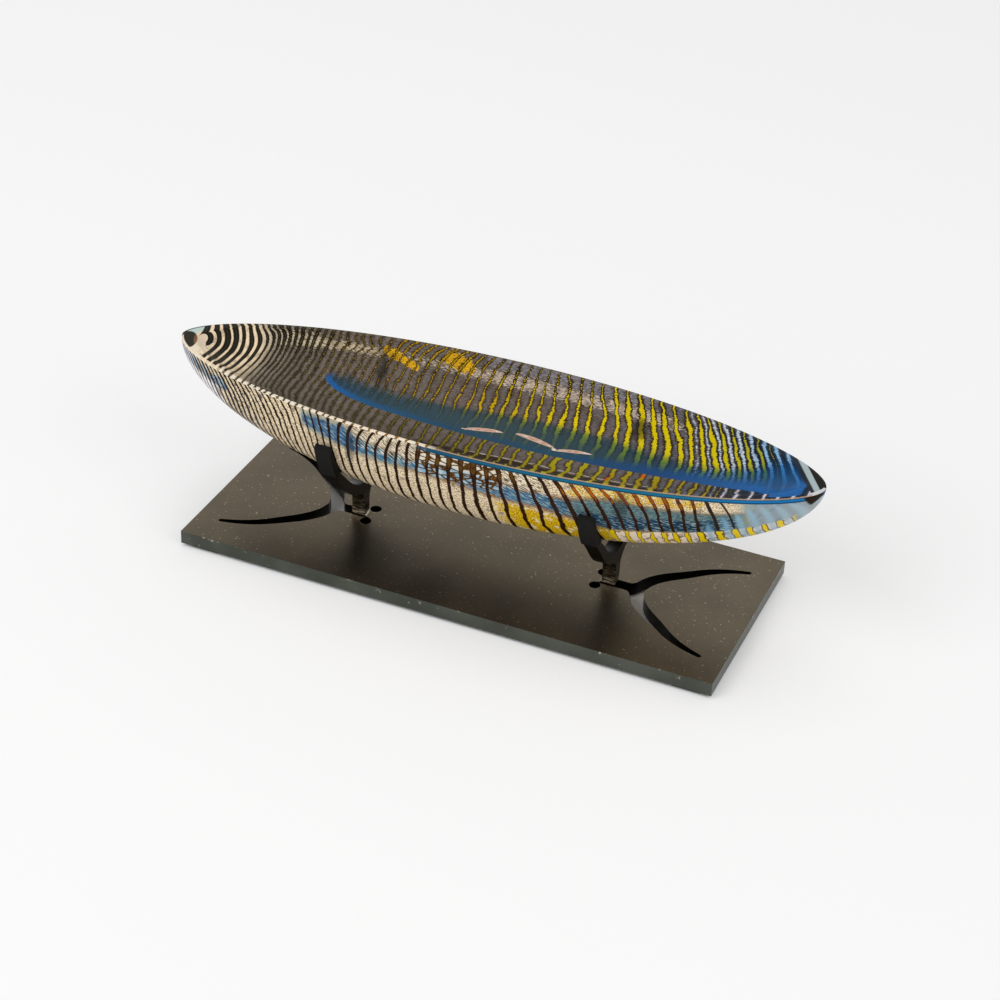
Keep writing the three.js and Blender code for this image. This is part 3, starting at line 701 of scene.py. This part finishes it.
    # Solid right tip: clear glass coloured with painted refraction and reflection of the surroundings,
    # nearly black, with one pale band across it and a painted highlight on a flat face of its near side
    tip = lay(tree, "#20272F", "#A9B8BC", sock["tip_band"], -4.2, -2.4)
    tip = lay(tree, tip, "#16130F", sock["tip_band"], 2.6, 3.6)
    tip = lay(tree, tip, "#D4D4D6", sock["highlight_facet"], 0.0, 0.5)
    colour = lay(tree, colour, tip, sock["tip_band"], -8.5, -6.5)

    # Left tip: cream disc inside the first cane, dark olive pupil beside it, a pale green painted highlight
    # beyond
    at_left = add(tree, MAP, {0: sock["cane_place"], 1: -278.0, 2: -281.0})
    tip = lay(tree, "#EFDFC6", "#BCD0CA", sock["gleam"], 0.0, 1.0)
    tip = lay(tree, tip, "#E3CFB4", sock["disc"], -0.6, 0.8)
    pupil = lay(tree, "#26231A", "#7A5636", sock["disc"], -1.4, 0.6)
    tip = lay(tree, tip, pupil, sock["pupil"], 0.0, 0.9)
    tip = lay(tree, tip, "#24261F", sock["tip_edge"], -0.3, 0.3)
    left_share = add(tree, MAP, {0: sock["dark"], 1: 0.25, 2: -0.2})
    left_share = add(tree, MATH, (left_share, at_left), operation="MULTIPLY")
    colour = add(tree, MIX, {0: left_share, 6: colour, 7: tip}, 2, data_type="RGBA")

    surface(tree, {"Base Color": colour, **GLASS_LOOKS}, sock["speck"], 0.2, 0.0003)
    return material


def hull_glass(names):
    """Outside of the boat: cream, blue and gold glass with brown-black canes."""
    material, tree = new_material("cased_glass_hull")
    sock = cane_sockets(tree, names, 0.35, 1.3)
    uneven = add(tree, MATH, (sock["blotch"], 0.5), operation="SUBTRACT")

    cream = lay(tree, "#DABF90", "#FAEBD2", sock["speck"], 0.44, 0.57)
    cream = lay(tree, cream, "#55422C", sock["speck"], 0.45, 0.37, 0.9)
    cream = lay(tree, cream, "#7E6440", sock["dash"], 0.48, 0.38, 0.75)
    # Brown blotches in the cream, more of them towards the keel as painted shade on the underside
    keel_shade_blotches = add(tree, MAP, {0: sock["across"], 1: -66.0, 2: -46.0, 3: 0.0, 4: 0.25})
    keel_shade_blotches = add(tree, MATH, (sock["blotch"], keel_shade_blotches), operation="SUBTRACT")
    cream = lay(tree, cream, "#6E5A44", keel_shade_blotches, 0.43, 0.3, 0.7)
    gold = lay(tree, "#B8870C", "#EECB24", sock["speck"], 0.43, 0.58)
    gold = lay(tree, gold, "#4E3008", sock["speck"], 0.45, 0.37, 0.9)
    gold = lay(tree, gold, "#F0E4C4", sock["blotch"], 0.56, 0.64, 0.7)

    ground = lay(tree, cream, gold, sock["gold"], -0.2, 0.9, ragged=(uneven, 4.0))
    ground = lay(tree, ground, gold, sock["warm"], 0.75, 1.1, 0.85, (uneven, 2.6))

    # Blue band along the side, teal-grey above its right half, with an amber-brown lower border amidships
    blue = add(tree, RAMP, (sock["at_station"],), stops=(
        (-147, "#35587E"), (-96, "#376488"), (-60, "#467A94"), (0, "#55809A"), (60, "#4C7490"),
        (105, "#2C5672"), (150, "#1A405C"), (200, "#14384E"), (250, "#285468")))
    blue = lay(tree, blue, "#B4C8C8", sock["stroke"], 0.52, 0.64, 0.75)
    blue = lay(tree, blue, "#16304E", sock["stroke"], 0.45, 0.34, 0.8)
    cool = lay(tree, "#4E6E74", "#7E9490", sock["dash"], 0.46, 0.62)
    cool = lay(tree, cool, "#1E2E34", sock["dash"], 0.42, 0.34, 0.8)
    blue = lay(tree, blue, cool, sock["cool"], 0.3, 0.9, 0.85, (uneven, 1.4))
    border_colour = add(tree, RAMP, (sock["at_station"],), stops=(
        (-147, "#8E9C94"), (-60, "#8F8C78"), (-20, "#7A4E1E"), (100, "#6E4212"), (150, "#3A4238")))
    ground = lay(tree, ground, border_colour, sock["blue"], 1.0, 1.5, 0.75, (sock["dash"], 3.0))
    ground = lay(tree, ground, blue, sock["blue"], -0.05, 0.5, ragged=(uneven, 1.8))

    # Left end: pale lilac-grey below, lightened towards white as painted light on the end that faces the
    # light, streaked blue above
    lilac_and_painted_light = lay(tree, "#CFC9D0", "#F4F2F6", sock["blotch"], 0.36, 0.56)
    ground = lay(tree, ground, lilac_and_painted_light, sock["lilac_and_painted_light"], 0.0, 0.8, 0.9, (uneven, 1.2))
    left_blue = lay(tree, "#2C5A90", "#86B4CC", sock["wobble"], 0.42, 0.58)
    left_blue = lay(tree, left_blue, "#1C3454", sock["speck"], 0.47, 0.38, 0.8)
    ground = lay(tree, ground, left_blue, sock["left_blue"], 0.8, 1.8, 0.9, (uneven, 7.0))
    ground = lay(tree, ground, "#3C4258", sock["flecks"], 1.92, 2.0, 0.85, (sock["wobble"], 1.6))

    # Fine dark and white strokes amidships
    ground = lay(tree, ground, "#EDE6D6", sock["hatch"], 1.8, 1.88, 0.8, (sock["stroke"], 1.5))
    ground = lay(tree, ground, "#3A3014", sock["hatch"], 0.28, 0.36, 0.85, (sock["stroke"], -1.5))

    # Amber net with pale ovals in it
    oval_place = add(tree, COMBINE, (sock["station"], sock["across"]))
    oval_place = add(tree, VECTOR_MATH, (oval_place, (1 / OVAL_LENGTH, 1 / OVAL_HEIGHT, 1.0)),
                     operation="MULTIPLY")
    oval = add(tree, "ShaderNodeTexVoronoi", {"Vector": oval_place, "Scale": 1.0, "Randomness": 0.7},
               feature="DISTANCE_TO_EDGE")
    amber = lay(tree, "#2A190A", "#744C12", sock["speck"], 0.42, 0.6)
    oval_colour = lay(tree, "#DCD3BE", "#86AEC4", sock["blue"], -0.6, 0.2)
    oval_colour = lay(tree, oval_colour, "#F0EEE6", sock["stroke"], 0.52, 0.64, 0.6)
    net = lay(tree, amber, oval_colour, oval, 0.07, 0.16)
    ground = lay(tree, ground, net, sock["net"], 0.5, 0.75, ragged=(uneven, 1.2))

    # Thin pale glass at both ends, yellow bars along the keel, soft pale blue pillars at the right
    end_glass = add(tree, RAMP, (sock["at_station"],), stops=(
        (-300, "#E4E6EA"), (-262, "#DADAE0"), (240, "#94A49E"), (262, "#8E9EA8"), (296, "#9CAAB2")))
    end_glass = lay(tree, end_glass, "#9AA07E", sock["drift"], 0.54, 0.66, 0.45)
    end_glass = lay(tree, end_glass, "#6788A4", sock["wobble"], 0.52, 0.68, 0.5)
    ground = lay(tree, ground, end_glass, sock["thin_glass"], 0.1, 1.0, 0.92)
    beads = lay(tree, "#F0DCC6", "#6A4A2C", sock["blotch"], 0.5, 0.38, 0.8)
    bead = add(tree, MATH, (uneven, 5.0, sock["distance"]), operation="MULTIPLY_ADD")
    beads = lay(tree, beads, "#4A3208", bead, 3.4, 2.6)
    beads = lay(tree, beads, "#EACB12", bead, 2.3, 1.7)
    ground = lay(tree, ground, beads, sock["beads"], 0.0, 0.7, ragged=(uneven, 2.0))
    pillars = add(tree, RAMP, (sock["at_station"],), stops=(
        (195, "#5E96BC"), (240, "#8DB6CC"), (300, "#AFC2CA")))
    ground = lay(tree, ground, pillars, sock["pale"], -2.2, 1.8, 0.75)

    # Canes: brown-black with amber edges, amber or rust inside near the rim
    skirt_colour = add(tree, RAMP, (sock["at_station"],), stops=(
        (-300, "#3A4048"), (-150, "#4E3A22"), (-60, "#5A3C14"), (30, "#6E4614"), (235, "#5A4A34")))
    colour = lay(tree, ground, skirt_colour, sock["dark"], 0.7, 1.3, 0.65, (sock["speck"], 2.2))
    dark = add(tree, RAMP, (sock["at_station"],), stops=(
        (-300, "#141A24"), (-225, "#17130E"), (-100, "#24140A"), (60, "#2C170A"), (200, "#301A0A"),
        (245, "#25282A")))
    colour = lay(tree, colour, dark, sock["dark"], -0.25, 0.3)
    core = add(tree, RAMP, (sock["at_station"],), stops=(
        (-40, "#5E4010"), (60, "#5E3C10"), (100, "#A85A0C"), (150, "#B4560C"), (222, "#8A4A14")))
    core = lay(tree, core, "#2A1A0A", sock["blotch"], 0.5, 0.4, 0.7)
    colour = lay(tree, colour, core, sock["core"], -0.4, 0.4)
    # Painted shade where the cradle arms show through the glass
    colour = lay(tree, colour, "#1E2026", sock["patina_and_arm_shade_cloud"], 0.6, 1.2, 0.6, (sock["blotch"], 1.0))

    # Blue line round the top of the side, right of the middle
    band = add(tree, RAMP, (sock["at_station"],), stops=(
        (-60, "#1A4A68"), (100, "#1C6A88"), (200, "#1E7090"), (250, "#1A74B2"), (300, "#1A74B2")))
    band = lay(tree, band, "#123650", sock["rim_drop"], 2.4, 3.2, 0.8)
    band = lay(tree, band, "#123650", sock["rim_drop"], 0.9, 0.4, 0.8)
    band = lay(tree, colour, band, sock["rim_drop"], 4.3, 3.9)
    colour = lay(tree, colour, band, sock["station"], -42.0, -16.0)
    colour = lay(tree, colour, "#241A12", sock["tip_shade"], 0.0, 1.0)

    surface(tree, {"Base Color": colour, **GLASS_LOOKS}, sock["speck"], 0.2, 0.0003)
    return material


def plate_reach(tree, place):
    """How far out a place is: 0 over the middle of the plate and 1 over its sides."""
    spot = add(tree, VECTOR_MATH, (place,), operation="ABSOLUTE")
    share = add(tree, VECTOR_MATH, (spot, (plate_high.x, plate_high.y, 1.0)), operation="DIVIDE")
    sides = [add(tree, SEPARATE, (share,), out=axis) for axis in ("X", "Y")]
    return add(tree, MATH, sides, operation="MAXIMUM")


def blackened_steel():
    """Mild steel under a brown-black waxed patina: satin sheen, pale specks, bare at the bends."""
    material, tree = new_material("blackened_mild_steel")
    place = add(tree, "ShaderNodeTexCoord", out="Object")
    height = add(tree, SEPARATE, (place,), out="Z")
    facing = add(tree, SEPARATE, (add(tree, "ShaderNodeNewGeometry", out="Normal"),), out="Z")

    # Cloudy patina, fine grain, dust specks, and chips broken finely
    patina_and_arm_shade_cloud = add(tree, NOISE, {"Vector": place, "Scale": 1 / (PATINA * MM), "Detail": 4.0})
    grain = add(tree, NOISE, {"Vector": place, "Scale": 1 / (STEEL_GRAIN * MM), "Detail": 2.0})
    dust = add(tree, NOISE, {"Vector": place, "Scale": 1 / (DUST * MM), "Detail": 1.0})
    chip = add(tree, NOISE, {"Vector": place, "Scale": 1 / (CHIP * MM), "Detail": 5.0, "Roughness": 0.75})

    # Sides of the plate are grey with pale chips, most of them under the top edge; the walls of the cut
    # slots are painted near black as shade
    top = lay(tree, "#564E41", "#615848", patina_and_arm_shade_cloud, 0.35, 0.65)
    top = lay(tree, top, "#A89C86", dust, 0.71, 0.75, 0.8)
    side = lay(tree, "#4A4D46", "#5A5D56", patina_and_arm_shade_cloud, 0.35, 0.65)
    rise = add(tree, MAP, {0: height, 1: plate_top - 8 * MM, 2: plate_top, 4: 0.09})
    chip = add(tree, MATH, (chip, rise), operation="ADD")
    side = lay(tree, side, "#BDB7A4", chip, 0.68, 0.72)
    reach = plate_reach(tree, place)
    # Painted shade: near black on the slot walls, away from the outer sides of the plate
    side = lay(tree, side, "#1B1814", reach, 0.985, 0.975)
    colour = lay(tree, side, top, facing, 0.4, 0.8)
    # Painted highlight: a pale line along the eased arrises, where the faces turn between level and upright
    facing_away = add(tree, MATH, (1.0, facing), operation="SUBTRACT")
    arris = add(tree, MATH, (facing, facing_away), operation="MULTIPLY")
    colour = lay(tree, colour, "#8E8A7A", arris, 0.1, 0.22, 0.6)

    # Stems brown-grey with level scratches, arms nearly black
    scratch_size = (1 / (SCRATCH_LENGTH * MM), 1 / (SCRATCH_LENGTH * MM), 1 / (SCRATCH_HEIGHT * MM))
    scratch_place = add(tree, VECTOR_MATH, (place, scratch_size), operation="MULTIPLY")
    scratch = add(tree, NOISE, {"Vector": scratch_place, "Scale": 1.0, "Detail": 3.0})
    stem = lay(tree, "#2C2721", "#77705F", scratch, 0.5, 0.66)
    bare = lay(tree, stem, "#CFC8B8", scratch, 0.46, 0.56)
    stem = lay(tree, bare, stem, height, plate_top + 3 * MM, plate_top + 9 * MM)
    colour = lay(tree, colour, stem, height, plate_top + 0.5 * MM, plate_top + 2.5 * MM)
    arm = lay(tree, "#12110D", "#1C1915", patina_and_arm_shade_cloud, 0.35, 0.65)
    colour = lay(tree, colour, arm, height, plate_top + 20 * MM, plate_top + 28 * MM)

    roughness = add(tree, MAP, {0: patina_and_arm_shade_cloud, 1: 0.3, 2: 0.7, 3: 0.32, 4: 0.4})
    surface(tree, {"Base Color": colour, "Roughness": roughness, "Metallic": 1.0}, grain, 0.12, 0.0001)
    return material


def black_rubber(name):
    """Soft moulded rubber: near black and matt, with a fine grain."""
    material, tree = new_material(name)
    place = add(tree, "ShaderNodeTexCoord", out="Object")
    grain = add(tree, NOISE, {"Vector": place, "Scale": 1 / (RUBBER_GRAIN * MM), "Detail": 3.0})
    colour = lay(tree, "#0B0B0A", "#151413", grain, 0.35, 0.65)
    looks = {"Base Color": colour, "Roughness": 0.7, "IOR": 1.5, "Specular IOR Level": 0.15}
    surface(tree, looks, grain, 0.2, 0.0001)
    return material


def eased_copy(node, name, radius, material):
    """A copy of a rigid node with its sharp arrises eased, to stand for the node."""
    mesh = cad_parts[node].data.copy()
    mesh.name = name
    work = bmesh.new()
    work.from_mesh(mesh)
    bmesh.ops.remove_doubles(work, verts=work.verts, dist=WELD_DISTANCE * MM)
    bmesh.ops.dissolve_limit(work, angle_limit=FLAT_ANGLE, verts=work.verts, edges=work.edges)
    sharp = [e for e in work.edges if len(e.link_faces) == 2 and e.calc_face_angle(0) > SHARP_ANGLE]
    bmesh.ops.bevel(work, geom=sharp, offset=radius * MM, segments=2, profile=0.5, affect="EDGES",
                    clamp_overlap=True)
    for face in work.faces:
        face.smooth = True
    work.to_mesh(mesh)
    work.free()
    mesh.materials.clear()
    mesh.materials.append(material)
    piece = put(name, mesh)
    evened = piece.modifiers.new("even_shading", "WEIGHTED_NORMAL")
    evened.mode = "FACE_AREA"
    evened.weight = 100
    return piece


def seen_by_eye_or_mirror(tree):
    """1 for camera, glossy and transmission rays, which see the plain white surroundings."""
    seen = add(tree, "ShaderNodeLightPath", out="Is Camera Ray")
    for ray in ("Is Glossy Ray", "Is Transmission Ray"):
        seen = add(tree, MATH, (seen, add(tree, "ShaderNodeLightPath", out=ray)), operation="MAXIMUM")
    return seen


def white_surround():
    """World: white to the camera and in reflections, a plain even light on the object."""
    world = bpy.data.worlds.new("studio")
    bpy.context.scene.world = world
    world.use_nodes = True
    tree = world.node_tree
    tree.nodes.clear()
    strength = add(tree, MAP, {0: seen_by_eye_or_mirror(tree), 3: 0.5, 4: 1.0})
    shade = add(tree, "ShaderNodeBackground", {"Color": "#FFFFFF", "Strength": strength})
    add(tree, "ShaderNodeOutputWorld", {"Surface": shade})


def white_floor():
    """A white floor that keeps a soft shadow of the object."""
    half = FLOOR_SIZE / 2
    mesh = bpy.data.meshes.new("floor")
    mesh.from_pydata([(-half, -half, 0), (half, -half, 0), (half, half, 0), (-half, half, 0)], [],
                     [(0, 1, 2, 3)])
    material, tree = new_material("floor_paper")
    paper = add(tree, "ShaderNodeBsdfDiffuse", {"Color": "#FFFFFF"})
    glow = add(tree, "ShaderNodeEmission", {"Color": "#FFFFFF", "Strength": 1.0})
    reach = plate_reach(tree, add(tree, "ShaderNodeTexCoord", out="Object"))
    clear = add(tree, MAP, {0: reach, 1: 0.98, 2: 1.0, 4: 0.25})
    amount = add(tree, MATH, (seen_by_eye_or_mirror(tree), clear), operation="MULTIPLY")
    both = add(tree, "ShaderNodeMixShader", (amount, paper, glow))
    add(tree, "ShaderNodeOutputMaterial", {"Surface": both})
    mesh.materials.append(material)
    floor = put("floor", mesh)


def soft_lamp(name, place, size, power):
    """A large soft studio lamp aimed at the boat."""
    light = bpy.data.lights.new(name, "AREA")
    light.shape = "SQUARE"
    light.size = size
    light.energy = power
    lamp = put(name, light)
    lamp.location = place
    lamp.rotation_mode = "QUATERNION"
    lamp.rotation_quaternion = (Vector((0, 0, 0.1)) - Vector(place)).to_track_quat("-Z", "Y")


def photo_camera():
    """The camera at the photograph's place and turn."""
    a, e, r = CAMERA_AZIMUTH, CAMERA_ELEVATION, CAMERA_ROLL
    back = Vector((math.sin(a) * math.cos(e), -math.cos(a) * math.cos(e), math.sin(e)))
    level = Vector((math.cos(a), math.sin(a), 0))
    upright = back.cross(level)
    right = level * math.cos(r) + upright * math.sin(r)
    up = upright * math.cos(r) - level * math.sin(r)
    data = bpy.data.cameras.new("photo_camera")
    data.lens = CAMERA_LENS
    data.sensor_width = CAMERA_SENSOR
    data.clip_start = 0.01
    data.clip_end = 50
    camera = put("photo_camera", data)
    camera.matrix_world = Matrix.Translation(CAMERA_PLACE) @ Matrix((right, up, back)).transposed().to_4x4()
    bpy.context.scene.camera = camera


photo_camera()
white_surround()
white_floor()
soft_lamp("key_lamp", (-2.4, -3.9, 3.7), 4.0, 132)
soft_lamp("top_lamp", (-0.6, 1.2, 6.0), 4.0, 59)
soft_lamp("fill_lamp", (4.2, -1.4, 3.0), 3.0, 40)

# The first strip is the outside and the second the bowl, and each glass is drawn from its strip's marks
strips = boat_strips()
boat = make_boat(strips, [hull_glass(strips[0][1]), top_glass(strips[1][1])])
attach(boat, "boat")
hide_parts("glass_boat")

stand = eased_copy("steel_base", "blackened_steel_stand", STEEL_ARRIS, blackened_steel())
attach(stand, "stand")
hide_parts("steel_base")

for part, slot in (("arm_sleeve_", "sleeve_rubber"), ("foot_pad_", "foot_rubber")):
    rubber = black_rubber("moulded_" + slot)
    for corner in ("left_front", "left_back", "right_front", "right_back"):
        piece = eased_copy(part + corner, "rubber_" + part + corner, RUBBER_ARRIS, rubber)
        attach(piece, "stand")
        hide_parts(part + corner)

bpy.context.scene.view_settings.view_transform = "Standard"
